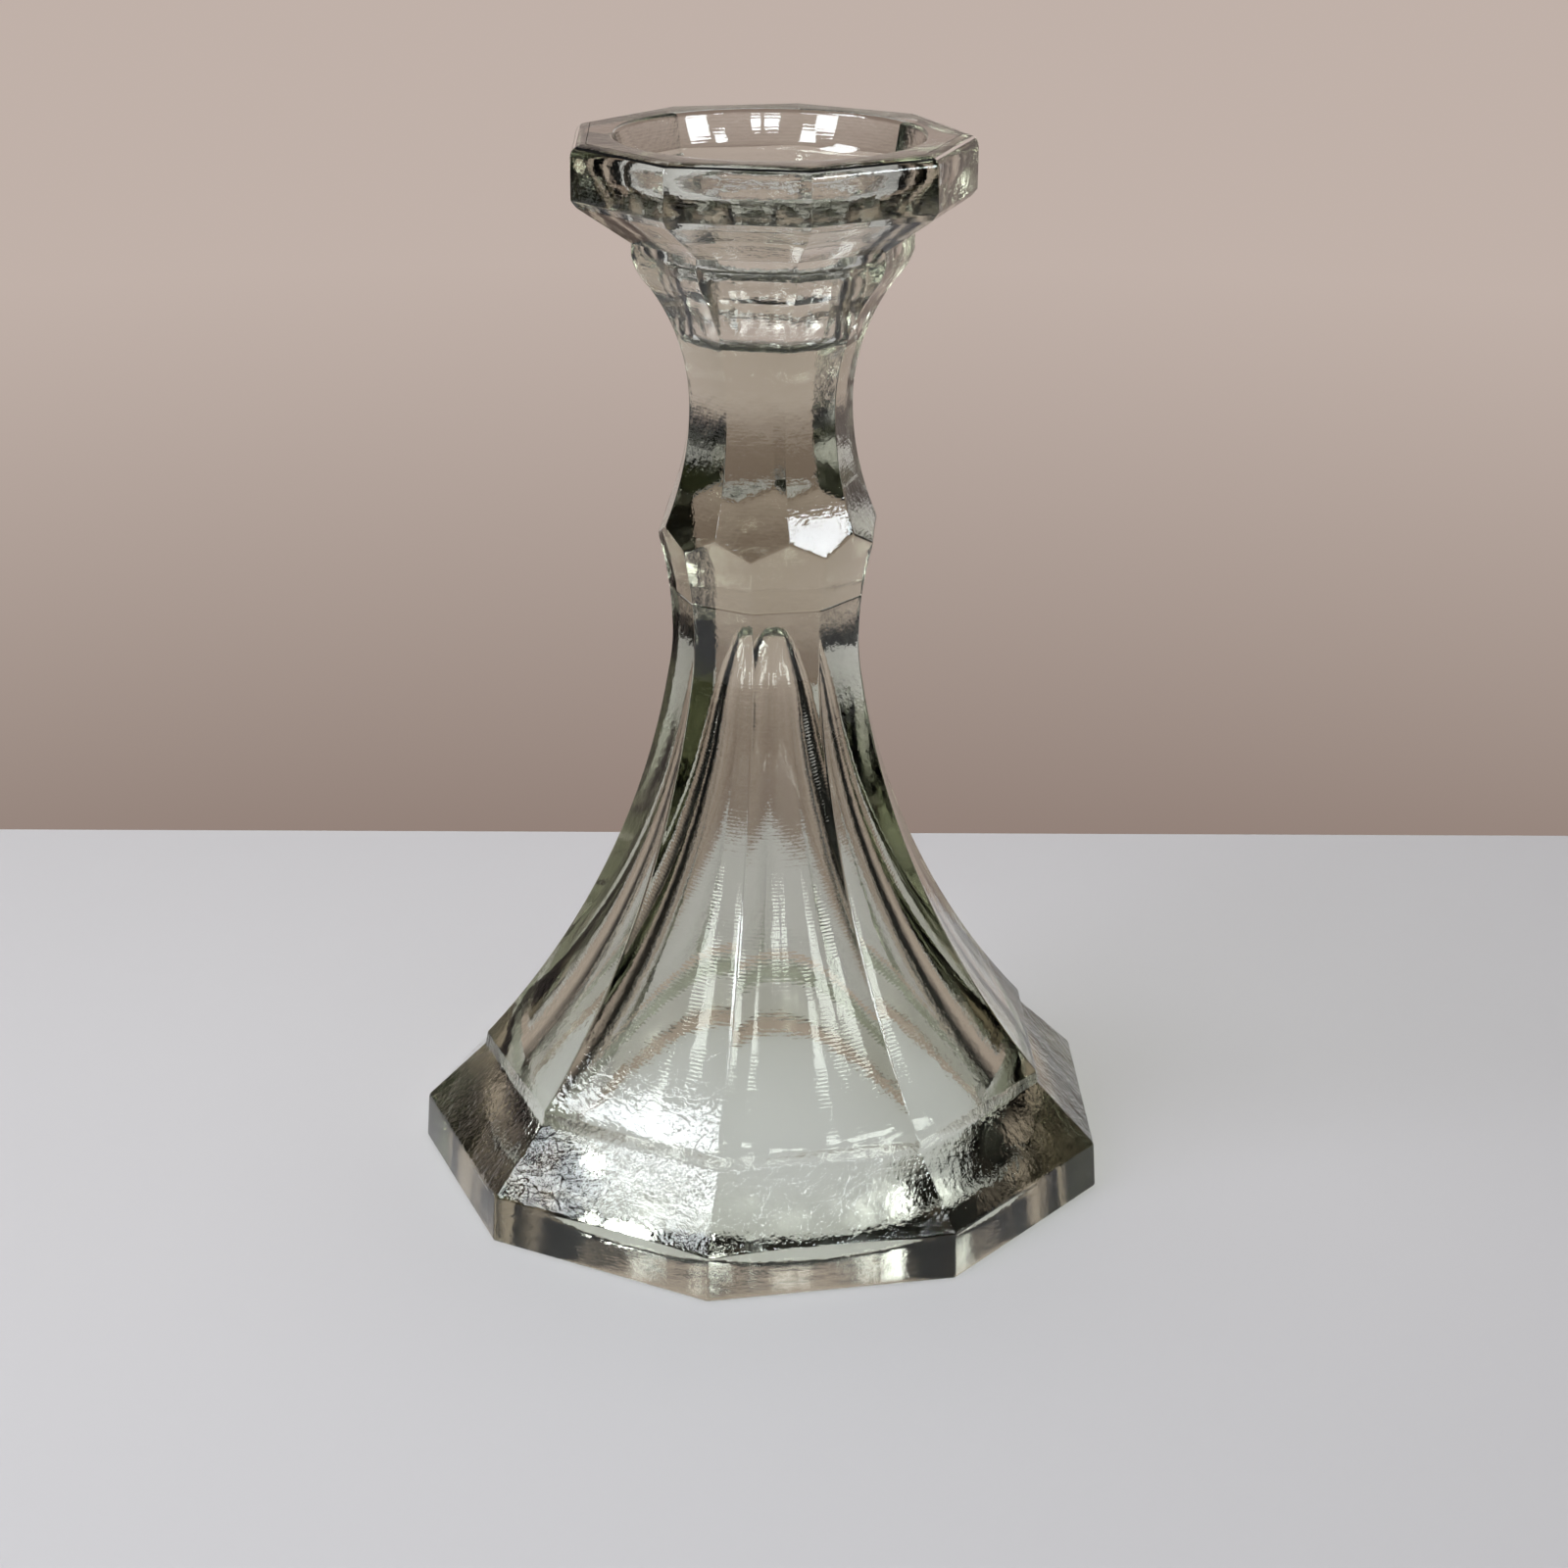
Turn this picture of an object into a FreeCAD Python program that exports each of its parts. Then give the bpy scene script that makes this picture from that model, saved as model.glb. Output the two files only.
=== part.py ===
"""Nine-sided pressed-glass candlestick: a bell foot and a cup with its stem, joined hot at the neck.

Millimetres, +Z up. The origin is the centre of the ring that the foot stands on. Every outside
width is half the width across flats, measured to the middle of a facet. The bell foot has a
facet on +Y and a corner on -Y. The cup is turned by half a facet, so it has a facet on -Y.
"""
import FreeCAD, Part
import math
import os
import Sketcher

SIZES = [
    ("sides", 9),
    # stock that the facets are cut from, and how far a cut runs past it
    ("stock_radius", 61.0),
    ("clear_radius", 66.0),
    ("run_past", 2.0),
    # foot: an upright band, a sloped plinth and a low riser under the bell
    ("foot_flat", 55.9),
    ("band_flat", 55.4),
    ("band_top", 8.0),
    ("plinth_flat", 45.9),
    ("plinth_top", 17.8),
    ("riser_flat", 45.5),
    ("riser_top", 20.0),
    # bell: a long hollow sweep up to the neck, which opens again towards the knop
    ("bell_sweep", 136.0),
    ("neck_curve", 40.0),
    ("neck_flat", 14.85),
    ("neck_height", 94.0),
    ("neck_flare", 60.0),
    ("joint_height", 101.0),
    ("flare_height", 118.0),
    # stem: two hollow sweeps that meet at the waist, the lower one running down over the knop
    ("knop_low", 106.0),
    ("lower_sweep", 50.0),
    ("waist_flat", 12.8),
    ("waist_height", 132.5),
    ("upper_sweep", 34.0),
    ("stem_top", 152.0),
    # rounded bead and collar under the rim
    ("bead_round", 12.0),
    ("collar_flat", 21.75),
    ("collar_low", 157.0),
    ("collar_top", 159.2),
    # drip rim
    ("rim_underside", 30.0),
    ("rim_low", 165.2),
    ("rim_flat", 30.9),
    ("rim_side_low", 166.4),
    ("rim_side_top", 174.0),
    ("top_flat", 29.5),
    ("total_height", 175.0),
    # round bowl, with a narrower well in its middle
    ("bowl_radius", 24.4),
    ("bowl_lip", 1.0),
    ("bowl_wall_foot", 22.8),
    ("bowl_wall_low", 169.2),
    ("well_radius", 18.8),
    ("well_top", 165.0),
    ("well_foot", 16.6),
    ("well_corner", 1.4),
    ("well_floor", 156.4),
    # round candle socket in the floor of the well
    ("socket_lip", 0.9),
    ("socket_radius", 12.2),
    ("socket_corner", 2.6),
    ("socket_base", 143.2),
    # round hollow inside the bell foot: a drafted wall, a turn, a long sweep, and a nose with a dome
    ("hollow_mouth", 40.6),
    ("hollow_wall", 39.8),
    ("hollow_wall_top", 10.5),
    ("hollow_turn", 11.0),
    ("hollow_low", 37.25),
    ("hollow_low_height", 16.9),
    ("hollow_sweep", 140.0),
    ("nose_radius", 7.2),
    ("nose_height", 80.0),
    ("nose_curve", 76.0),
    ("dome_side_height", 94.0),
    ("dome_radius", 3.2),
    ("dome_top", 96.0),
]
# share of the neck's curve, below the neck, where it hands over to the long bell sweep
HANDOVER = 0.185

doc = FreeCAD.newDocument("candlestick")
sheet = doc.addObject("Spreadsheet::Sheet", "Sizes")
for row, (alias, value) in enumerate(SIZES, start=1):
    sheet.set(f"A{row}", alias)
    sheet.set(f"B{row}", str(value))
    sheet.setAlias(f"B{row}", alias)
doc.recompute()


def measure(formula):
    """The value of a sum of named sizes, such as 'bowl_radius + bowl_lip'."""
    total, sign = 0.0, 1
    for word in formula.split():
        if word in ("+", "-"):
            sign = 1 if word == "+" else -1
        else:
            total += sign * (0.0 if word == "0" else getattr(sheet, word))
    return total


def number(size):
    """A size as a number, whether it is given as a sum of named sizes or as a number."""
    return size if isinstance(size, float) else measure(size)


def expression(formula, sign=1):
    """The same sum as an expression on the sheet."""
    words = [w if w in ("+", "-", "0") else f"Sizes.{w}" for w in formula.split()]
    text = " ".join(words)
    return text if sign > 0 else f"-({text})"


def origin_feature(body, role):
    """One of the body's own origin planes or axes."""
    return next(f for f in body.Origin.OriginFeatures if f.Role == role)


def start_body(label):
    body = doc.addObject("PartDesign::Body", label)
    body.Label = label
    return body


def start_sketch(body, name, role):
    sketch = body.newObject("Sketcher::SketchObject", name)
    sketch.AttachmentSupport = [(origin_feature(body, role), "")]
    sketch.MapMode = "FlatFace"
    return sketch


def bind(sketch, name, constraint, formula):
    """Adds a named constraint and ties its value to the sheet."""
    index = sketch.addConstraint(constraint)
    sketch.renameConstraint(index, name)
    sketch.setExpression(f"Constraints.{name}", formula)


def swept(flat, height, radius, at):
    """Where a hollow sweep, upright at (flat, height), has got to at another height."""
    return flat + radius - math.sqrt(radius**2 - (at - height) ** 2)


def arc_middle(start, end, radius, bulge):
    """The middle of the shorter arc, which bulges to the left of travel when bulge is 1."""
    chord = end - start
    across = FreeCAD.Vector(-chord.y, chord.x, 0).normalize()
    rise = radius - math.sqrt(radius**2 - (chord.Length / 2) ** 2)
    return start + chord * 0.5 + across * (bulge * rise)


def outline(sketch, corners, arcs, side=1):
    """Draws a closed outline whose corners and radii come from the sheet.

    A corner is (across, up), each a sum of sizes, or a number when the arcs beside it set it.
    An across of None stands the corner straight above or below the one before it.
    arcs maps a corner to the arc that leaves it: (radius, bulge, manner). The manner's words
    are "smooth", for no corner where it starts, "upright_start" or "upright_end", for an arc
    that runs straight up there, and "about_axis", for one whose centre is on the axis. side is
    -1 for an outline across the axis.
    """
    points = []
    for across, up in corners:
        x = points[-1].x if across is None else side * number(across)
        points.append(FreeCAD.Vector(x, number(up), 0))
    count = len(points)
    ends = []
    for i, start in enumerate(points):
        end = points[(i + 1) % count]
        if i not in arcs:
            sketch.addGeometry(Part.LineSegment(start, end))
            ends.append((1, 2))
            continue
        radius, bulge, _ = arcs[i]
        turn = bulge * side
        middle = arc_middle(start, end, measure(radius), turn)
        # a sketch's arc always runs anticlockwise, so one that bulges left is drawn backwards
        run = (end, middle, start) if turn > 0 else (start, middle, end)
        sketch.addGeometry(Part.Arc(*run))
        ends.append((2, 1) if turn > 0 else (1, 2))
    for i in range(count):
        after = (i + 1) % count
        kind = "Tangent" if after in arcs and "smooth" in arcs[after][2] else "Coincident"
        sketch.addConstraint(Sketcher.Constraint(kind, i, ends[i][1], after, ends[after][0]))
    for i, (across, up) in enumerate(corners):
        at = ends[i][0]
        if across is None:
            sketch.addConstraint(Sketcher.Constraint("Vertical", i - 1))
        elif across == "0":
            sketch.addConstraint(Sketcher.Constraint("PointOnObject", i, at, -2))
        elif not isinstance(across, float):
            constraint = Sketcher.Constraint("DistanceX", -1, 1, i, at, points[i].x)
            bind(sketch, f"across_{i}", constraint, expression(across, side))
        if not isinstance(up, float):
            constraint = Sketcher.Constraint("DistanceY", -1, 1, i, at, points[i].y)
            bind(sketch, f"up_{i}", constraint, expression(up))
    for i, (radius, _, manner) in arcs.items():
        constraint = Sketcher.Constraint("Radius", i, measure(radius))
        bind(sketch, f"radius_{i}", constraint, expression(radius))
        for word, corner in (("upright_start", i), ("upright_end", i + 1)):
            if word in manner:
                up = corners[corner][1]
                constraint = Sketcher.Constraint("DistanceY", -1, 1, i, 3, measure(up))
                bind(sketch, f"centre_{i}", constraint, expression(up))
        if "about_axis" in manner:
            sketch.addConstraint(Sketcher.Constraint("PointOnObject", i, 3, -2))


def stock(body, low, high):
    """A round blank between two heights, which the facets are cut from."""
    sketch = start_sketch(body, f"{body.Name}_stock_outline", "XY_Plane")
    sketch.setExpression("AttachmentOffset.Base.z", expression(low))
    centre, up = FreeCAD.Vector(0, 0, 0), FreeCAD.Vector(0, 0, 1)
    sketch.addGeometry(Part.Circle(centre, up, sheet.stock_radius))
    sketch.addConstraint(Sketcher.Constraint("Coincident", 0, 3, -1, 1))
    radius = Sketcher.Constraint("Radius", 0, sheet.stock_radius)
    bind(sketch, "stock_radius", radius, "Sizes.stock_radius")
    blank = body.newObject("PartDesign::Pad", f"{body.Name}_stock")
    blank.Profile = sketch
    blank.setExpression("Length", f"{expression(high)} - ({expression(low)})")
    return blank


def cut_facets(body, name, corners, arcs, side):
    """Cuts one facet right across the blank, then repeats it round the axis."""
    sketch = start_sketch(body, f"{name}_outline", "YZ_Plane")
    outline(sketch, corners, arcs, side)
    cut = body.newObject("PartDesign::Pocket", f"{name}_cut")
    cut.Profile = sketch
    cut.SideType = "Symmetric"
    cut.setExpression("Length", "2 * Sizes.clear_radius")
    pattern = body.newObject("PartDesign::PolarPattern", f"{name}_facets")
    pattern.Originals = [cut]
    pattern.Axis = (origin_feature(body, "Z_Axis"), [""])
    pattern.Angle = 360
    pattern.setExpression("Occurrences", "Sizes.sides")
    body.Tip = pattern
    return pattern


def hollow_out(body, name, corners, arcs):
    """Cuts a round hollow about the axis."""
    sketch = start_sketch(body, f"{name}_outline", "YZ_Plane")
    outline(sketch, corners, arcs)
    groove = body.newObject("PartDesign::Groove", name)
    groove.Profile = sketch
    groove.ReferenceAxis = (sketch, ["V_Axis"])
    groove.Angle = 360
    body.Tip = groove
    return groove


def neck_flare_at(up):
    """The lower facets' half-width above the neck."""
    return swept(sheet.neck_flat, sheet.neck_height, sheet.neck_flare, up)


def make_bell_foot():
    body = start_body("bell_foot")
    stock(body, "0", "joint_height")
    handover = sheet.neck_height - HANDOVER * sheet.neck_curve
    corners = [
        ("foot_flat", "0 - run_past"),
        ("foot_flat", "0"),
        ("band_flat", "band_top"),
        ("plinth_flat", "plinth_top"),
        ("riser_flat", "riser_top"),
        (swept(sheet.neck_flat, sheet.neck_height, sheet.neck_curve, handover), handover),
        ("neck_flat", "neck_height"),
        (neck_flare_at(sheet.joint_height), "joint_height"),
        (None, "joint_height + run_past"),
        ("clear_radius", "joint_height + run_past"),
        ("clear_radius", "0 - run_past"),
    ]
    arcs = {
        4: ("bell_sweep", 1, ""),
        5: ("neck_curve", 1, "smooth upright_end"),
        6: ("neck_flare", 1, "upright_start"),
    }
    cut_facets(body, "bell", corners, arcs, 1)
    dome_rise = sheet.dome_side_height - (sheet.dome_top - sheet.dome_radius)
    dome_side = math.sqrt(sheet.dome_radius**2 - dome_rise**2)
    corners = [
        ("0", "0 - run_past"),
        ("hollow_mouth", "0 - run_past"),
        ("hollow_mouth", "0"),
        ("hollow_wall", "hollow_wall_top"),
        ("hollow_low", "hollow_low_height"),
        ("nose_radius", "nose_height"),
        (dome_side, "dome_side_height"),
        ("0", "dome_top"),
    ]
    arcs = {
        3: ("hollow_turn", -1, ""),
        4: ("hollow_sweep", 1, ""),
        5: ("nose_curve", -1, ""),
        6: ("dome_radius", -1, "about_axis"),
    }
    hollow_out(body, "foot_hollow", corners, arcs)
    return body


def make_cup_and_stem():
    body = start_body("cup_and_stem")
    stock(body, "joint_height", "total_height")
    waist = (sheet.waist_flat, sheet.waist_height)
    corners = [
        (swept(*waist, sheet.lower_sweep, sheet.knop_low), "joint_height - run_past"),
        (None, "knop_low"),
        ("waist_flat", "waist_height"),
        (swept(*waist, sheet.upper_sweep, sheet.stem_top), "stem_top"),
        ("collar_flat", "collar_low"),
        ("collar_flat", "collar_top"),
        ("rim_underside", "rim_low"),
        ("rim_flat", "rim_side_low"),
        ("rim_flat", "rim_side_top"),
        ("top_flat", "total_height"),
        ("top_flat", "total_height + run_past"),
        ("clear_radius", "total_height + run_past"),
        ("clear_radius", "joint_height - run_past"),
    ]
    arcs = {
        1: ("lower_sweep", 1, "upright_end"),
        2: ("upper_sweep", 1, "upright_start"),
        3: ("bead_round", -1, ""),
    }
    cut_facets(body, "stem", corners, arcs, -1)
    # the bell's own nine facets run up past the joint and cut the knop's lower edge to points
    corners = [
        ("neck_flat", "neck_height"),
        (neck_flare_at(sheet.flare_height), "flare_height"),
        ("clear_radius", "flare_height"),
        ("clear_radius", "neck_height"),
    ]
    cut_facets(body, "knop", corners, {0: ("neck_flare", 1, "upright_start")}, 1)
    corners = [
        ("0", "total_height + run_past"),
        ("0", "socket_base"),
        ("socket_radius - socket_corner", "socket_base"),
        ("socket_radius", "socket_base + socket_corner"),
        ("socket_radius", "well_floor - socket_lip"),
        ("socket_radius + socket_lip", "well_floor"),
        ("well_foot - well_corner", "well_floor"),
        ("well_foot", "well_floor + well_corner"),
        ("well_radius", "well_top"),
        ("bowl_wall_foot", "bowl_wall_low"),
        ("bowl_radius", "total_height - bowl_lip"),
        ("bowl_radius + bowl_lip", "total_height"),
        (None, "total_height + run_past"),
    ]
    arcs = {
        2: ("socket_corner", -1, ""),
        4: ("socket_lip", 1, ""),
        6: ("well_corner", -1, ""),
        10: ("bowl_lip", 1, ""),
    }
    hollow_out(body, "bowl_and_socket", corners, arcs)
    return body


def check(objects):
    """Stops on any failed object or empty, broken shape."""
    for thing in doc.Objects:
        if {"Invalid", "Error"} & set(thing.State):
            raise RuntimeError(f"{thing.Label} failed: {thing.State}")
    for thing in objects:
        if thing.Shape.isNull() or not thing.Shape.isValid():
            raise RuntimeError(f"{thing.Label} has no valid shape")


pieces = [make_bell_foot(), make_cup_and_stem()]
doc.recompute()
check(pieces)
os.makedirs("parts", exist_ok=True)
for piece in pieces:
    piece.Shape.exportStep(f"parts/{piece.Label}.step")
    print(piece.Label, round(piece.Shape.Volume), "cubic millimetres", piece.Shape.BoundBox)
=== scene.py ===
"""Looks of the nine-sided pressed-glass candlestick.

Shapes are drawn in millimetres, as in the CAD part, and turned into metres when the meshes are
made. +Z is up, the bell foot has a corner on -Y, and the cup is turned by half a facet.
"""

import math

import bpy
import numpy as np
from mathutils import Matrix, Vector


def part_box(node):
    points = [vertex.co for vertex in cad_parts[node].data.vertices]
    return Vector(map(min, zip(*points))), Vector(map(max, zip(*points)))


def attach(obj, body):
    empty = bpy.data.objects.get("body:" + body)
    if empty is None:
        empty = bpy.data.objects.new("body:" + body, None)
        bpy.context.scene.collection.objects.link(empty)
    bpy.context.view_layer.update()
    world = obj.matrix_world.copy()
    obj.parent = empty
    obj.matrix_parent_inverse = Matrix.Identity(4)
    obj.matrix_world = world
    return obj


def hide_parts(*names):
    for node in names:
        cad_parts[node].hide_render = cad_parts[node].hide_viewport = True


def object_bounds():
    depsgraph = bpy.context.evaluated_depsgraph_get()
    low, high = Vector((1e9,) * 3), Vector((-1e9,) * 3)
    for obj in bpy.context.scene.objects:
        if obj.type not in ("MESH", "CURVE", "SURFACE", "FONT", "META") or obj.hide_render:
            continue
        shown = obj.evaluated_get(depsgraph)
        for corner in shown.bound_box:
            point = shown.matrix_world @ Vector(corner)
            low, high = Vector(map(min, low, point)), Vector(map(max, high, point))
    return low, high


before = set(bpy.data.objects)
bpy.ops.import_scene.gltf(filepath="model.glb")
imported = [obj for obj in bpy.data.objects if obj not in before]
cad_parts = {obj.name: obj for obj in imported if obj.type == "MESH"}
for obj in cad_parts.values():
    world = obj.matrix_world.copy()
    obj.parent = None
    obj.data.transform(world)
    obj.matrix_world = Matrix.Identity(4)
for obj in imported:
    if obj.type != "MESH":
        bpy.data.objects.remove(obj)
cad_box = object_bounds()

MM = 0.001
SIDES = 9
FACET = 2 * math.pi / SIDES

# Outside widths are half the width across flats. Heights are above the table.
JOINT_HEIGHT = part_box("cup_and_stem")[0][2] / MM
TOTAL_HEIGHT = cad_box[1][2] / MM
FOOT_FLAT, BAND_FLAT, BAND_TOP = 55.9, 55.4, 8.0
PLINTH_FLAT, PLINTH_TOP = 45.9, 17.8
RISER_FLAT, RISER_TOP = 45.5, 20.0
# The bell's long sweep goes up to SWEEP_TOP, where the neck's tighter curve takes over.
BELL_SWEEP, SWEEP_TOP, NECK_CURVE, NECK_FLARE = 136.0, 86.6, 40.0, 60.0
NECK_FLAT, NECK_HEIGHT = 14.85, 94.0
LOWER_SWEEP, UPPER_SWEEP = 50.0, 34.0
WAIST_FLAT, WAIST_HEIGHT = 12.8, 132.5
KNOP_TOP, STEM_TOP, BEAD_ROUND = 122.0, 152.0, 12.0
COLLAR_FLAT, COLLAR_LOW, COLLAR_TOP = 21.75, 157.0, 159.2
RIM_UNDERSIDE, RIM_LOW, RIM_FLAT, RIM_SIDE_LOW, RIM_SIDE_TOP = 30.0, 165.2, 30.9, 166.4, 174.0
TOP_FLAT = 29.5
BOWL_RADIUS, BOWL_LIP, BOWL_WALL_FOOT, BOWL_WALL_LOW, BOWL_CORNER = 24.4, 1.0, 22.8, 169.2, 1.0
WELL_RADIUS, WELL_TOP, WELL_FOOT, WELL_CORNER, WELL_FLOOR = 18.8, 165.0, 16.6, 1.4, 156.4
SOCKET_LIP = 0.9
SOCKET_RADIUS, SOCKET_CORNER, SOCKET_BASE = 12.2, 2.6, 143.2
HOLLOW_MOUTH, HOLLOW_WALL, HOLLOW_WALL_TOP, HOLLOW_TURN = 40.6, 39.8, 10.5, 11.0
HOLLOW_LOW, HOLLOW_LOW_HEIGHT, HOLLOW_SWEEP = 37.25, 16.9, 140.0
NOSE_RADIUS, NOSE_HEIGHT, NOSE_CURVE = 7.2, 80.0, 76.0
DOME_RADIUS, DOME_SIDE_HEIGHT, DOME_TOP = 3.2, 94.0, 96.0
# The last ring before the dome's tip and before the middle of the socket's floor. A smaller one
# would make triangles too thin to keep.
CAP_RADIUS = 0.8

# Fire-polished glass has no sharp edges. The upright edges have these radii. Near the knop the
# radius is a share of the width instead.
FOOT_SOFTENING, STEM_SOFTENING, KNOP_SOFTENING = 1.0, 0.45, 0.018
# How much is rounded off the level edges of the foot, from the table upwards, and of the cup.
MOUTH_EDGE, FOOT_EDGE, BAND_EDGE, RISER_EDGE = 0.6, 0.6, 0.5, 0.3
STEM_TOP_EDGE, COLLAR_EDGE, RIM_LOW_EDGE, RIM_SIDE_EDGE, BEVEL_EDGE = 0.4, 0.1, 0.3, 0.2, 1.1
# How softly the lower facets turn into the upper ones along the knop's zigzag.
CREASE = 0.3
# The zigzag lies between these heights, and is found by halving the space this many times.
ZIGZAG_LOW, ZIGZAG_HIGH, HALVINGS = 104.0, 118.0, 40
# Edges that turn by more than this are shaded sharp.
SHARP_TURN = math.radians(50)
# Degrees from a facet's edge to the mesh's columns, on both sides of it.
COLUMN_STEPS = (0, 0.12, 0.28, 0.5, 0.85, 1.4, 2.3, 3.8, 5.6, 7.8)

# The weld is a hairline round the neck. The two pieces stop just short of each other there.
JOINT_GAP = 0.02
WELD_WIDTH, WELD_DEPTH = 0.35, 0.12
# Its depth wanders round the neck: the waves in one turn, their shift, and how much they matter.
WELD_WAVES, WELD_SHIFT, WELD_EVEN, WELD_UNEVEN = (2, 3, 5, 8, 13, 21), 1.7, 0.6, 0.4

SURFACE_TINT = (0.985, 0.985, 0.975, 1)
SMOKE_COLOUR, SMOKE_DENSITY = (0.635, 0.64, 0.52, 1), 42.0
# The weld's two discs bend light as air does, so that they don't show inside the neck.
GLASS_INDEX, WELD_INDEX = 1.5, 1.0001
BUMP_DISTANCE = 0.00012
PEEL_SCALE, PEEL_HEIGHT = 900.0, 0.8
SWELL_SCALE, SWELL_HEIGHT = 90.0, 3.0
STREAK_SCALE, STREAK_STRETCH, STREAK_HEIGHT = 260.0, 0.08, 0.2
MARK_SCALE, MARK_WANDER, MARK_HEIGHT = 560.0, 1.5, 0.03
# Peel and swell on the plunger's faces, then up the outside: each strength holds up to its height.
INSIDE_RIPPLE = 0.1
RIPPLE_BANDS = ((BAND_TOP, 0.4), (RISER_TOP, 2.5), (34, 0.5), (60, 0.2), (NECK_HEIGHT, 0.3))
UPPER_RIPPLE = 0.7
# Turning marks on the outside of the cup and stem. The plunger's faces have them in full.
UPPER_MARKS = 0.8
SHADOW_TINT = (0.93, 0.935, 0.93, 1)

# The camera, table, backdrop and lights are all turned round the object by this much.
SWING = math.radians(8.85)
CAMERA_LENS = 72.64
CAMERA_YAW, CAMERA_PITCH, CAMERA_ROLL = math.radians(0.328), math.radians(20.89), math.radians(0.356)
# In heights of the object.
CAMERA_DISTANCE, CAMERA_HEIGHT = 2.8531, 1.4655

# The table and backdrop are in metres. The table's top is just under the foot.
TABLE_NEAR, TABLE_FAR, TABLE_SIDE, TABLE_TOP, TABLE_UNDER = -1.0, 0.143, 0.95, -0.05 * MM, -0.03
TABLE_COLOUR, TABLE_ROUGHNESS = (0.62, 0.62, 0.645, 1), 0.6
BACKDROP_RADIUS, BACKDROP_LOW, BACKDROP_HIGH, BACKDROP_SIDES = 1.15, -0.75, 1.0, 96
# The backdrop's glow is taupe behind the object, paler from PALER_FROM up to PALE_AT: painted light,
# as a wall lit more brightly higher up. It fades to dark at the sides, further out higher up: painted
# shade, standing for the unlit room.
LOW_TAUPE, HIGH_TAUPE, PAINTED_SHADE = (0.27, 0.205, 0.175), (0.53, 0.44, 0.395), (0.008, 0.008, 0.008)
PALER_FROM, PALE_AT = -0.42, -0.08
DARK_FROM, TAUPE_WITHIN, WIDENING = 0.66, 0.5, 0.3
WORLD_COLOUR = (0.01, 0.01, 0.01, 1)

# Each lamp: azimuth and elevation in degrees, distance, width and height in metres, brightness.
WINDOWS = {
    "window_left": (-73, 46, 0.9, 0.33, 0.37, 18),
    "window_left_low": (-46, 24, 0.9, 0.25, 0.16, 20),
    "window_right": (60, 24, 0.9, 0.27, 0.2, 20),
    "window_front": (-2, 26, 1.0, 0.18, 0.12, 22),
    "window_front_right": (11, 26, 1.0, 0.12, 0.12, 22),
    "window_front_left": (-33, 33, 1.0, 0.2, 0.2, 20),
    "window_side_right": (42, 34, 1.0, 0.14, 0.2, 20),
}
UNSEEN_LAMPS = {
    "overhead": (0, 88, 1.1, 0.8, 0.8, 3.5),
    "fill": (-60, 45, 0.9, 0.6, 0.5, 6),
}
WHITE, WINDOW_COLOUR = (1, 1, 1), (0.9, 0.96, 1.0)
# How much of a window's light reaches the table through the glass.
SHARE_THROUGH_GLASS = 0.5


def swept(flat, height, radius, at):
    """A hollow sweep that is upright at (flat, height), read at another height or heights."""
    return flat + radius - np.sqrt(radius**2 - (at - height) ** 2)


def arc(start, end, radius, bulge, steps):
    """Points of the shorter arc after start, bulging to the left of travel when bulge is 1."""
    start, end = Vector(start), Vector(end)
    chord = end - start
    across = Vector((-chord.y, chord.x)).normalized()
    drop = math.sqrt(radius**2 - (chord.length / 2) ** 2)
    centre = (start + end) / 2 - across * (bulge * drop)
    first, last = start - centre, end - centre
    turn = -first.angle_signed(last)
    return [centre + Matrix.Rotation(turn * i / steps, 2) @ first for i in range(1, steps + 1)]


def softened(points, sizes, steps=4):
    """Rounds the corners of an outline. sizes maps a point's place in the list to its rounding."""
    made = []
    for i, point in enumerate(points):
        size = sizes.get(i, 0)
        if not size:
            made.append(point)
            continue
        before = point + (points[i - 1] - point).normalized() * size
        after = point + (points[i + 1] - point).normalized() * size
        for j in range(steps + 1):
            t = j / steps
            made.append(before * (1 - t) ** 2 + point * (2 * t * (1 - t)) + after * t**2)
    return made


def column_angles():
    """Directions of the mesh's columns, close together at every edge of both sets of facets."""
    half = FACET / 2
    span = [math.radians(step) for step in COLUMN_STEPS]
    span += [half / 2] + [half - s for s in reversed(span[1:])]
    return np.array([half * i + s for i in range(2 * SIDES) for s in span])


ANGLES = column_angles()


def facets(flat, softening, turned=False):
    """Distance from the axis to a nine-sided ring in each column's direction."""
    half = FACET / 2
    offset = half if turned else 0
    from_edge = np.abs((ANGLES - offset + half) % FACET - half)
    core = (flat - softening) / math.cos(half)
    tangent = math.atan2(softening * math.sin(half), core + softening * math.cos(half))
    sharp = flat / np.cos(half - from_edge)
    inside = np.maximum(softening**2 - (core * np.sin(from_edge)) ** 2, 0)
    return np.where(from_edge < tangent, core * np.cos(from_edge) + np.sqrt(inside), sharp)


def ring(reach, up):
    """One ring of the mesh, in metres. reach and up are one number, or one for every column."""
    reach, up = np.broadcast_arrays(np.asarray(reach, float), ANGLES * 0 + up)
    return np.stack([reach * np.sin(ANGLES), -reach * np.cos(ANGLES), up], axis=1) * MM


def faceted_rings(points, softening, turned=False):
    return [ring(facets(p.x, softening, turned), p.y) for p in points]


def round_rings(points):
    return [ring(p.x, p.y) for p in points]


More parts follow.
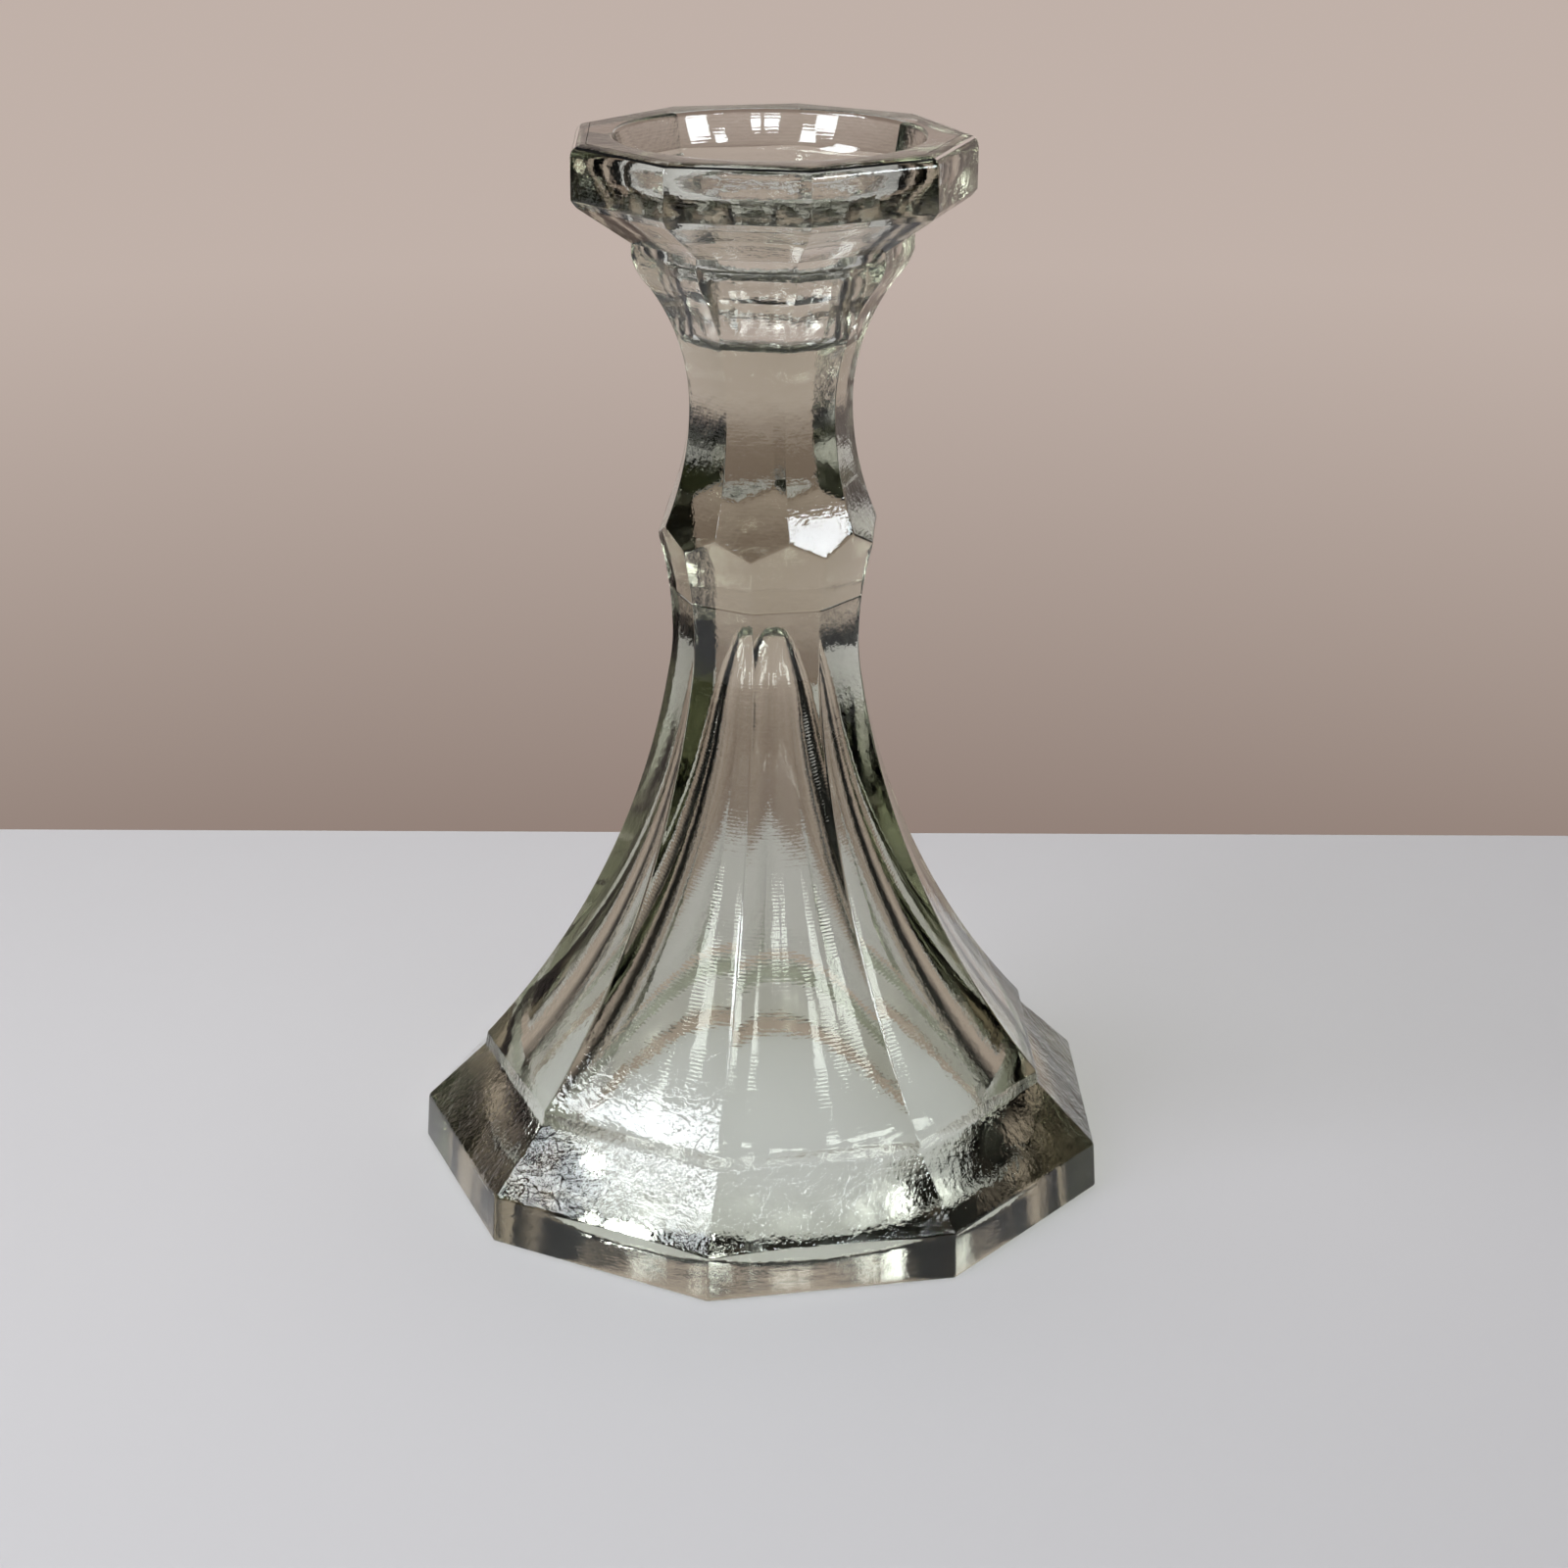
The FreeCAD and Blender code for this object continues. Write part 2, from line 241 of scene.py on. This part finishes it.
def lathe_mesh(name, rings, low_pole, high_pole):
    """Skins a chain of rings and closes both ends with a fan about a point on the axis."""
    count = len(ANGLES)
    places = np.concatenate(rings + [np.array([[0, 0, low_pole * MM], [0, 0, high_pole * MM]])])
    first, last = len(places) - 2, len(places) - 1
    faces = []
    for j in range(len(rings) - 1):
        for i in range(count):
            after = (i + 1) % count
            a, b = j * count, (j + 1) * count
            faces.append((a + i, a + after, b + after, b + i))
    top = (len(rings) - 1) * count
    for i in range(count):
        after = (i + 1) % count
        faces.append((first, after, i))
        faces.append((last, top + i, top + after))
    mesh = bpy.data.meshes.new(name)
    mesh.from_pydata(places.tolist(), [], faces)
    mesh.validate()
    mesh.shade_smooth()
    mesh.set_sharp_from_angle(angle=SHARP_TURN)
    piece = bpy.data.objects.new(name, mesh)
    bpy.context.scene.collection.objects.link(piece)
    return piece


def flare_at(up):
    """The bell's facets above the neck, for every column at its own height."""
    return swept(NECK_FLAT, NECK_HEIGHT, NECK_FLARE, up) * facets(1, KNOP_SOFTENING)


def stem_at(up):
    """The stem's facets below the waist, for every column at its own height."""
    return swept(WAIST_FLAT, WAIST_HEIGHT, LOWER_SWEEP, up) * facets(1, KNOP_SOFTENING, turned=True)


def weld_line(side):
    """Rings of the shallow, uneven groove where the two pieces meet. side is -1 below, 1 above."""
    wander = sum(np.sin(n * ANGLES + WELD_SHIFT * n) / n for n in WELD_WAVES)
    depth = WELD_DEPTH * (WELD_EVEN + WELD_UNEVEN * np.tanh(wander))
    made = []
    for share in (1.0, 0.6, 0.3, 0.1, 0.0):
        up = JOINT_HEIGHT + side * (JOINT_GAP / 2 + share * WELD_WIDTH)
        made.append(ring(flare_at(up) - depth * (1 - share) ** 2, up))
    return made if side < 0 else made[::-1]


def foot_hollow():
    """Outline of the round hollow, from the top of its dome down to its mouth."""
    dome_rise = DOME_SIDE_HEIGHT - (DOME_TOP - DOME_RADIUS)
    dome_side = (math.sqrt(DOME_RADIUS**2 - dome_rise**2), DOME_SIDE_HEIGHT)
    dome_cap = (CAP_RADIUS, DOME_TOP - DOME_RADIUS + math.sqrt(DOME_RADIUS**2 - CAP_RADIUS**2))
    nose = (NOSE_RADIUS, NOSE_HEIGHT)
    low = (HOLLOW_LOW, HOLLOW_LOW_HEIGHT)
    wall = Vector((HOLLOW_WALL, HOLLOW_WALL_TOP))
    made = [Vector(dome_cap)] + arc(dome_cap, dome_side, DOME_RADIUS, 1, 8)
    made += arc(dome_side, nose, NOSE_CURVE, 1, 10)
    made += arc(nose, low, HOLLOW_SWEEP, -1, 36)
    made += arc(low, wall, HOLLOW_TURN, 1, 8)
    made += [Vector((HOLLOW_MOUTH, 0)), Vector((HOLLOW_MOUTH + 2, 0))]
    return softened(made, {len(made) - 2: MOUTH_EDGE})


def bell_foot():
    """The lower pressing: hollow, foot, plinth, bell and neck, up to the weld."""
    sweep_top = Vector((swept(NECK_FLAT, NECK_HEIGHT, NECK_CURVE, SWEEP_TOP), SWEEP_TOP))
    riser = Vector((RISER_FLAT, RISER_TOP))
    neck = Vector((NECK_FLAT, NECK_HEIGHT))
    weld = JOINT_HEIGHT - JOINT_GAP / 2 - WELD_WIDTH
    groove = Vector((swept(NECK_FLAT, NECK_HEIGHT, NECK_FLARE, weld), weld))
    outside = [Vector((FOOT_FLAT - 3, 0)), Vector((FOOT_FLAT, 0)), Vector((BAND_FLAT, BAND_TOP)),
               Vector((PLINTH_FLAT, PLINTH_TOP)), riser]
    outside += arc(riser, sweep_top, BELL_SWEEP, 1, 40)
    outside += arc(sweep_top, neck, NECK_CURVE, 1, 6)
    outside = softened(outside, {1: FOOT_EDGE, 2: BAND_EDGE, 3: RISER_EDGE, 4: RISER_EDGE})
    flare = [ring(flare_at(p.y), p.y) for p in arc(neck, groove, NECK_FLARE, 1, 6)[:-1]]
    rings = round_rings(foot_hollow()) + faceted_rings(outside, FOOT_SOFTENING)
    rings += flare + weld_line(-1)
    return lathe_mesh("bell_foot_glass", rings, DOME_TOP, JOINT_HEIGHT - JOINT_GAP / 2)


def zigzag():
    """Height at which the two sets of facets meet in the knop, for every column."""
    low = np.full(len(ANGLES), ZIGZAG_LOW)
    high = np.full(len(ANGLES), ZIGZAG_HIGH)
    for _ in range(HALVINGS):
        middle = (low + high) / 2
        below = flare_at(middle) < stem_at(middle)
        low, high = np.where(below, middle, low), np.where(below, high, middle)
    return (low + high) / 2


def knop_rings():
    """The knop, from the weld up. Its rings bunch up towards the zigzag and follow it."""
    meeting = zigzag()
    start = JOINT_HEIGHT + JOINT_GAP / 2 + WELD_WIDTH
    spread = [1 - (1 - i / 10) ** 2 for i in range(10)] + [1]
    heights = [start + (meeting - start) * share for share in spread[1:]]
    heights += [KNOP_TOP + (meeting - KNOP_TOP) * share for share in reversed(spread[:-1])]
    made = []
    for up in heights:
        flare, stem = flare_at(up), stem_at(up)
        made.append(ring((flare + stem - np.sqrt((flare - stem) ** 2 + CREASE**2)) / 2, up))
    return made


def bowl_and_socket():
    """Outline of the round bowl, its sloping floor and the candle socket below it."""
    lip = Vector((BOWL_RADIUS + BOWL_LIP, TOTAL_HEIGHT))
    wall = Vector((BOWL_RADIUS, TOTAL_HEIGHT - BOWL_LIP))
    wall_foot = Vector((BOWL_WALL_FOOT, BOWL_WALL_LOW))
    well = Vector((WELL_RADIUS, WELL_TOP))
    well_foot = Vector((WELL_FOOT, WELL_FLOOR + WELL_CORNER))
    floor = Vector((WELL_FOOT - WELL_CORNER, WELL_FLOOR))
    mouth = Vector((SOCKET_RADIUS + SOCKET_LIP, WELL_FLOOR))
    socket = Vector((SOCKET_RADIUS, WELL_FLOOR - SOCKET_LIP))
    corner = Vector((SOCKET_RADIUS, SOCKET_BASE + SOCKET_CORNER))
    base = Vector((SOCKET_RADIUS - SOCKET_CORNER, SOCKET_BASE))
    bowl = softened([wall, wall_foot, well, well_foot], {1: BOWL_CORNER, 2: BOWL_CORNER})
    made = [lip] + arc(lip, wall, BOWL_LIP, -1, 6) + bowl[1:]
    made += arc(well_foot, floor, WELL_CORNER, 1, 6) + [mouth]
    made += arc(mouth, socket, SOCKET_LIP, -1, 6)
    made += [socket.lerp(corner, i / 4) for i in range(1, 5)]
    made += arc(corner, base, SOCKET_CORNER, 1, 8)
    return made + [Vector((reach, SOCKET_BASE)) for reach in (base.x * 0.6, base.x * 0.3, CAP_RADIUS)]


def cup_and_stem():
    """The upper pressing: knop, stem, collar, rim, bowl and candle socket."""
    waist = Vector((WAIST_FLAT, WAIST_HEIGHT))
    knop_top = (swept(*waist, LOWER_SWEEP, KNOP_TOP), KNOP_TOP)
    stem_top = Vector((swept(*waist, UPPER_SWEEP, STEM_TOP), STEM_TOP))
    collar = Vector((COLLAR_FLAT, COLLAR_LOW))
    stem = arc(knop_top, waist, LOWER_SWEEP, 1, 10)
    stem += arc(waist, stem_top, UPPER_SWEEP, 1, 20)
    bead = arc(stem_top, collar, BEAD_ROUND, -1, 8)
    rim = [Vector((COLLAR_FLAT, COLLAR_TOP)), Vector((RIM_UNDERSIDE, RIM_LOW)),
           Vector((RIM_FLAT, RIM_SIDE_LOW)), Vector((RIM_FLAT, RIM_SIDE_TOP)),
           Vector((TOP_FLAT, TOTAL_HEIGHT)), Vector((TOP_FLAT - 1, TOTAL_HEIGHT))]
    rounding = {len(stem) - 1: STEM_TOP_EDGE}
    rim_edges = (COLLAR_EDGE, RIM_LOW_EDGE, RIM_SIDE_EDGE, BEVEL_EDGE, BEVEL_EDGE)
    for i, size in enumerate(rim_edges, len(stem + bead)):
        rounding[i] = size
    outside = faceted_rings(softened(stem + bead + rim, rounding), STEM_SOFTENING, turned=True)
    rings = weld_line(1) + knop_rings() + outside + round_rings(bowl_and_socket())
    low_pole = JOINT_HEIGHT + JOINT_GAP / 2
    return lathe_mesh("cup_and_stem_glass", rings, low_pole, SOCKET_BASE)


def mark_faces(piece, name, amount):
    """Keeps a number on every face for the material. amount works it out from middle and normal."""
    mark = piece.data.attributes.new(name, "FLOAT", "FACE")
    for face in piece.data.polygons:
        mark.data[face.index].value = float(amount(face.center, face.normal))


def is_welded(middle, normal):
    """True on the two discs that face each other at the weld."""
    return abs(normal.z) > 0.9 and abs(middle.z - JOINT_HEIGHT * MM) < JOINT_GAP * MM


def is_inside(middle, normal):
    """True on the round faces that the plungers press: those that look towards the axis."""
    return normal.x * middle.x + normal.y * middle.y < -1e-6


def turning_marks(middle, normal):
    """How deep the level turning marks are: deepest on the plunger's faces and the upper mould's."""
    if is_inside(middle, normal):
        return 1.0
    return UPPER_MARKS if middle.z > JOINT_HEIGHT * MM else 0.0


def ripple(middle, normal):
    """How rippled a face is. The plunger's faces are the smoothest and the plinth the roughest."""
    if is_inside(middle, normal):
        return INSIDE_RIPPLE
    for top, strength in RIPPLE_BANDS:
        if middle.z / MM < top:
            return strength
    return UPPER_RIPPLE


class Nodes:
    """A short way to add nodes and link them in one material."""

    def __init__(self, name):
        self.material = bpy.data.materials.new(name)
        self.material.use_nodes = True
        self.tree = self.material.node_tree
        self.shader = self.tree.nodes["Principled BSDF"]
        self.output = self.tree.nodes["Material Output"]

    def add(self, kind, **inputs):
        """Adds a node. Each input is a value, or the output socket that feeds it."""
        node = self.tree.nodes.new(kind)
        for name, value in inputs.items():
            self.set(node, name.replace("_", " "), value)
        return node

    def set(self, node, name, value):
        """Gives one of a node's inputs, by name or number, a value or the socket that feeds it."""
        socket = node.inputs[name]
        if isinstance(value, bpy.types.NodeSocket):
            self.tree.links.new(value, socket)
        else:
            socket.default_value = value

    def math(self, kind, a, b):
        """A Math node's result for two values."""
        node = self.tree.nodes.new("ShaderNodeMath")
        node.operation = kind
        self.set(node, 0, a)
        self.set(node, 1, b)
        return node.outputs[0]

    def mark(self, name):
        """The number that mark_faces keeps on every face."""
        node = self.tree.nodes.new("ShaderNodeAttribute")
        node.attribute_name = name
        return node.outputs["Fac"]

    def blend(self, share, first, second):
        """A colour that goes from first to second as share goes from 0 to 1."""
        node = self.tree.nodes.new("ShaderNodeMix")
        node.data_type = "RGBA"
        for socket, value in ((0, share), (6, first), (7, second)):
            self.set(node, socket, value)
        return node.outputs[2]


def glass():
    """Lightly smoked soda glass, rippled by the mould, with turning marks inside."""
    made = Nodes("smoked_glass")
    made.set(made.shader, "Base Color", SURFACE_TINT)
    made.set(made.shader, "Roughness", 0.0)
    made.set(made.shader, "Transmission Weight", 1.0)
    smoke = made.add("ShaderNodeVolumeAbsorption", Color=SMOKE_COLOUR, Density=SMOKE_DENSITY)
    made.set(made.output, "Volume", smoke.outputs["Volume"])
    bend = made.math("MULTIPLY", made.mark("welded"), WELD_INDEX - GLASS_INDEX)
    made.set(made.shader, "IOR", made.math("ADD", bend, GLASS_INDEX))

    where = made.add("ShaderNodeTexCoord").outputs["Object"]
    peel = made.add("ShaderNodeTexNoise", Vector=where, Scale=PEEL_SCALE, Detail=3.0)
    swell = made.add("ShaderNodeTexNoise", Vector=where, Scale=SWELL_SCALE, Detail=2.0)
    stretch = made.add("ShaderNodeMapping", Vector=where, Scale=(1, 1, STREAK_STRETCH))
    streaks = made.add("ShaderNodeTexNoise", Vector=stretch.outputs["Vector"],
                       Scale=STREAK_SCALE, Detail=1.0)
    marks = made.add("ShaderNodeTexWave", Vector=where, Scale=MARK_SCALE, Distortion=MARK_WANDER)
    marks.bands_direction = "Z"
    height = made.math("ADD", made.math("MULTIPLY", peel.outputs["Fac"], PEEL_HEIGHT),
                       made.math("MULTIPLY", swell.outputs["Fac"], SWELL_HEIGHT))
    height = made.math("MULTIPLY", height, made.mark("rippled"))
    height = made.math("ADD", height, made.math("MULTIPLY", streaks.outputs["Fac"], STREAK_HEIGHT))
    depth = made.math("MULTIPLY", made.mark("turned"), MARK_HEIGHT)
    height = made.math("ADD", height, made.math("MULTIPLY", marks.outputs["Fac"], depth))
    bump = made.add("ShaderNodeBump", Height=height, Strength=1.0, Distance=BUMP_DISTANCE)
    made.set(made.shader, "Normal", bump.outputs["Normal"])

    # Shadow rays pass through the walls, so that the lamps light the table behind the glass.
    shadow_ray = made.add("ShaderNodeLightPath").outputs["Is Shadow Ray"]
    clear = made.add("ShaderNodeBsdfTransparent", Color=SHADOW_TINT)
    through = made.add("ShaderNodeMixShader", Fac=shadow_ray)
    made.set(through, 1, made.shader.outputs["BSDF"])
    made.set(through, 2, clear.outputs["BSDF"])
    made.set(made.output, "Surface", through.outputs["Shader"])
    return made.material


def table_paint():
    made = Nodes("table_paint")
    made.set(made.shader, "Base Color", TABLE_COLOUR)
    made.set(made.shader, "Roughness", TABLE_ROUGHNESS)
    return made.material


def backdrop_painted_light():
    """Painted light and shade: taupe glow behind the object, paler upwards, and dark all round the rest.
    """
    made = Nodes("backdrop_painted_light")
    where = made.add("ShaderNodeTexCoord").outputs["Object"]
    parts = made.add("ShaderNodeSeparateXYZ", Vector=where)
    aside = made.math("ABSOLUTE", parts.outputs["X"], 0.0)
    climb = made.add("ShaderNodeMapRange", Value=parts.outputs["Z"],
                     From_Min=PALER_FROM, From_Max=PALE_AT).outputs["Result"]
    narrowed = made.math("ADD", aside, made.math("MULTIPLY", climb, -WIDENING))
    within = made.add("ShaderNodeMapRange", Value=narrowed,
                      From_Min=DARK_FROM, From_Max=TAUPE_WITHIN).outputs["Result"]
    behind = made.math("GREATER_THAN", parts.outputs["Y"], 0.0)
    # Painted light: the taupe grows paler upwards. Painted shade: dark at the sides and in front.
    taupe = made.blend(climb, (*LOW_TAUPE, 1), (*HIGH_TAUPE, 1))
    colour = made.blend(made.math("MULTIPLY", within, behind), (*PAINTED_SHADE, 1), taupe)
    glow = made.add("ShaderNodeEmission", Color=colour, Strength=1.0)
    made.set(made.output, "Surface", glow.outputs["Emission"])
    return made.material


def softbox(name, place, colour):
    """A soft light that faces the object. Its brightness is how bright its face looks."""
    azimuth, elevation, distance, width, height, brightness = place
    light = bpy.data.lights.new(name, "AREA")
    light.shape = "RECTANGLE"
    light.size, light.size_y = width, height
    light.energy = brightness * math.pi * width * height
    light.color = colour
    lamp = bpy.data.objects.new(name, light)
    a, e = math.radians(azimuth), math.radians(elevation)
    way = Vector((math.sin(a) * math.cos(e), -math.cos(a) * math.cos(e), math.sin(e)))
    middle = Vector((0, 0, TOTAL_HEIGHT * MM / 2))
    swing = Matrix.Rotation(SWING, 3, "Z")
    lamp.location = swing @ (middle + way * distance)
    lamp.rotation_mode = "QUATERNION"
    lamp.rotation_quaternion = (swing @ way).to_track_quat("Z", "Y")
    bpy.context.scene.collection.objects.link(lamp)
    return lamp


def window(name, place):
    """A softbox that shows in the glass. It lights the table only through the glass, and weakly."""
    lamp = softbox(name, place, WINDOW_COLOUR)
    lamp.visible_diffuse = False
    lamp.data.use_nodes = True
    tree = lamp.data.node_tree
    path = tree.nodes.new("ShaderNodeLightPath")
    share = tree.nodes.new("ShaderNodeMapRange")
    share.inputs["To Min"].default_value = 1.0
    share.inputs["To Max"].default_value = SHARE_THROUGH_GLASS
    tree.links.new(path.outputs["Diffuse Depth"], share.inputs["Value"])
    tree.links.new(share.outputs["Result"], tree.nodes["Emission"].inputs["Strength"])


def stage_piece(name, places, faces, material):
    mesh = bpy.data.meshes.new(name)
    mesh.from_pydata(places, [], faces)
    mesh.materials.append(material)
    piece = bpy.data.objects.new(name, mesh)
    piece.rotation_euler.z = SWING
    bpy.context.scene.collection.objects.link(piece)


def stage():
    """A pale table top, and a round backdrop well behind it."""
    places = [(x, y, z) for z in (TABLE_UNDER, TABLE_TOP) for y in (TABLE_NEAR, TABLE_FAR)
              for x in (-TABLE_SIDE, TABLE_SIDE)]
    faces = [(4, 5, 7, 6), (0, 2, 3, 1), (0, 1, 5, 4), (2, 6, 7, 3), (0, 4, 6, 2), (1, 3, 7, 5)]
    stage_piece("table_top", places, faces, table_paint())
    count = BACKDROP_SIDES
    turns = [2 * math.pi * i / count for i in range(count)]
    places = [(BACKDROP_RADIUS * math.sin(t), BACKDROP_RADIUS * math.cos(t), z)
              for z in (BACKDROP_LOW, BACKDROP_HIGH) for t in turns]
    faces = [(i, (i + 1) % count, count + (i + 1) % count, count + i) for i in range(count)]
    faces.append(tuple(range(count)))
    stage_piece("backdrop", places, faces, backdrop_painted_light())


def lights():
    """Windows for the glass to mirror, soft lamps that only light, and a nearly dark room."""
    for name, place in WINDOWS.items():
        window(name, place)
    for name, place in UNSEEN_LAMPS.items():
        lamp = softbox(name, place, WHITE)
        lamp.visible_glossy = lamp.visible_transmission = False
    world = bpy.data.worlds.new("world")
    bpy.context.scene.world = world
    world.use_nodes = True
    world.node_tree.nodes["Background"].inputs["Color"].default_value = WORLD_COLOUR
    bpy.context.scene.view_settings.view_transform = "Standard"


def camera():
    """The camera stands at the photograph's viewing angle."""
    view = bpy.data.cameras.new("camera")
    view.lens = CAMERA_LENS
    view.clip_start, view.clip_end = 0.01, 20
    eye = bpy.data.objects.new("camera", view)
    yaw, pitch, roll = CAMERA_YAW, CAMERA_PITCH, CAMERA_ROLL
    forward = Vector((math.sin(yaw) * math.cos(pitch), math.cos(yaw) * math.cos(pitch), -math.sin(pitch)))
    right = Vector((math.cos(yaw), -math.sin(yaw), 0))
    up = right.cross(forward)
    leaned_right = right * math.cos(roll) + up * math.sin(roll)
    leaned_up = up * math.cos(roll) - right * math.sin(roll)
    turn = Matrix((leaned_right, leaned_up, -forward)).transposed()
    swing = Matrix.Rotation(SWING, 3, "Z")
    aim = (swing @ turn).to_4x4()
    aim.translation = swing @ Vector((0, -CAMERA_DISTANCE, CAMERA_HEIGHT)) * (TOTAL_HEIGHT * MM)
    eye.matrix_world = aim
    bpy.context.scene.collection.objects.link(eye)
    bpy.context.scene.camera = eye


smoked = glass()
for build, node in ((bell_foot, "bell_foot"), (cup_and_stem, "cup_and_stem")):
    piece = build()
    mark_faces(piece, "welded", is_welded)
    mark_faces(piece, "turned", turning_marks)
    mark_faces(piece, "rippled", ripple)
    piece.data.materials.append(smoked)
    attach(piece, "root")
    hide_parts(node)
stage()
lights()
camera()
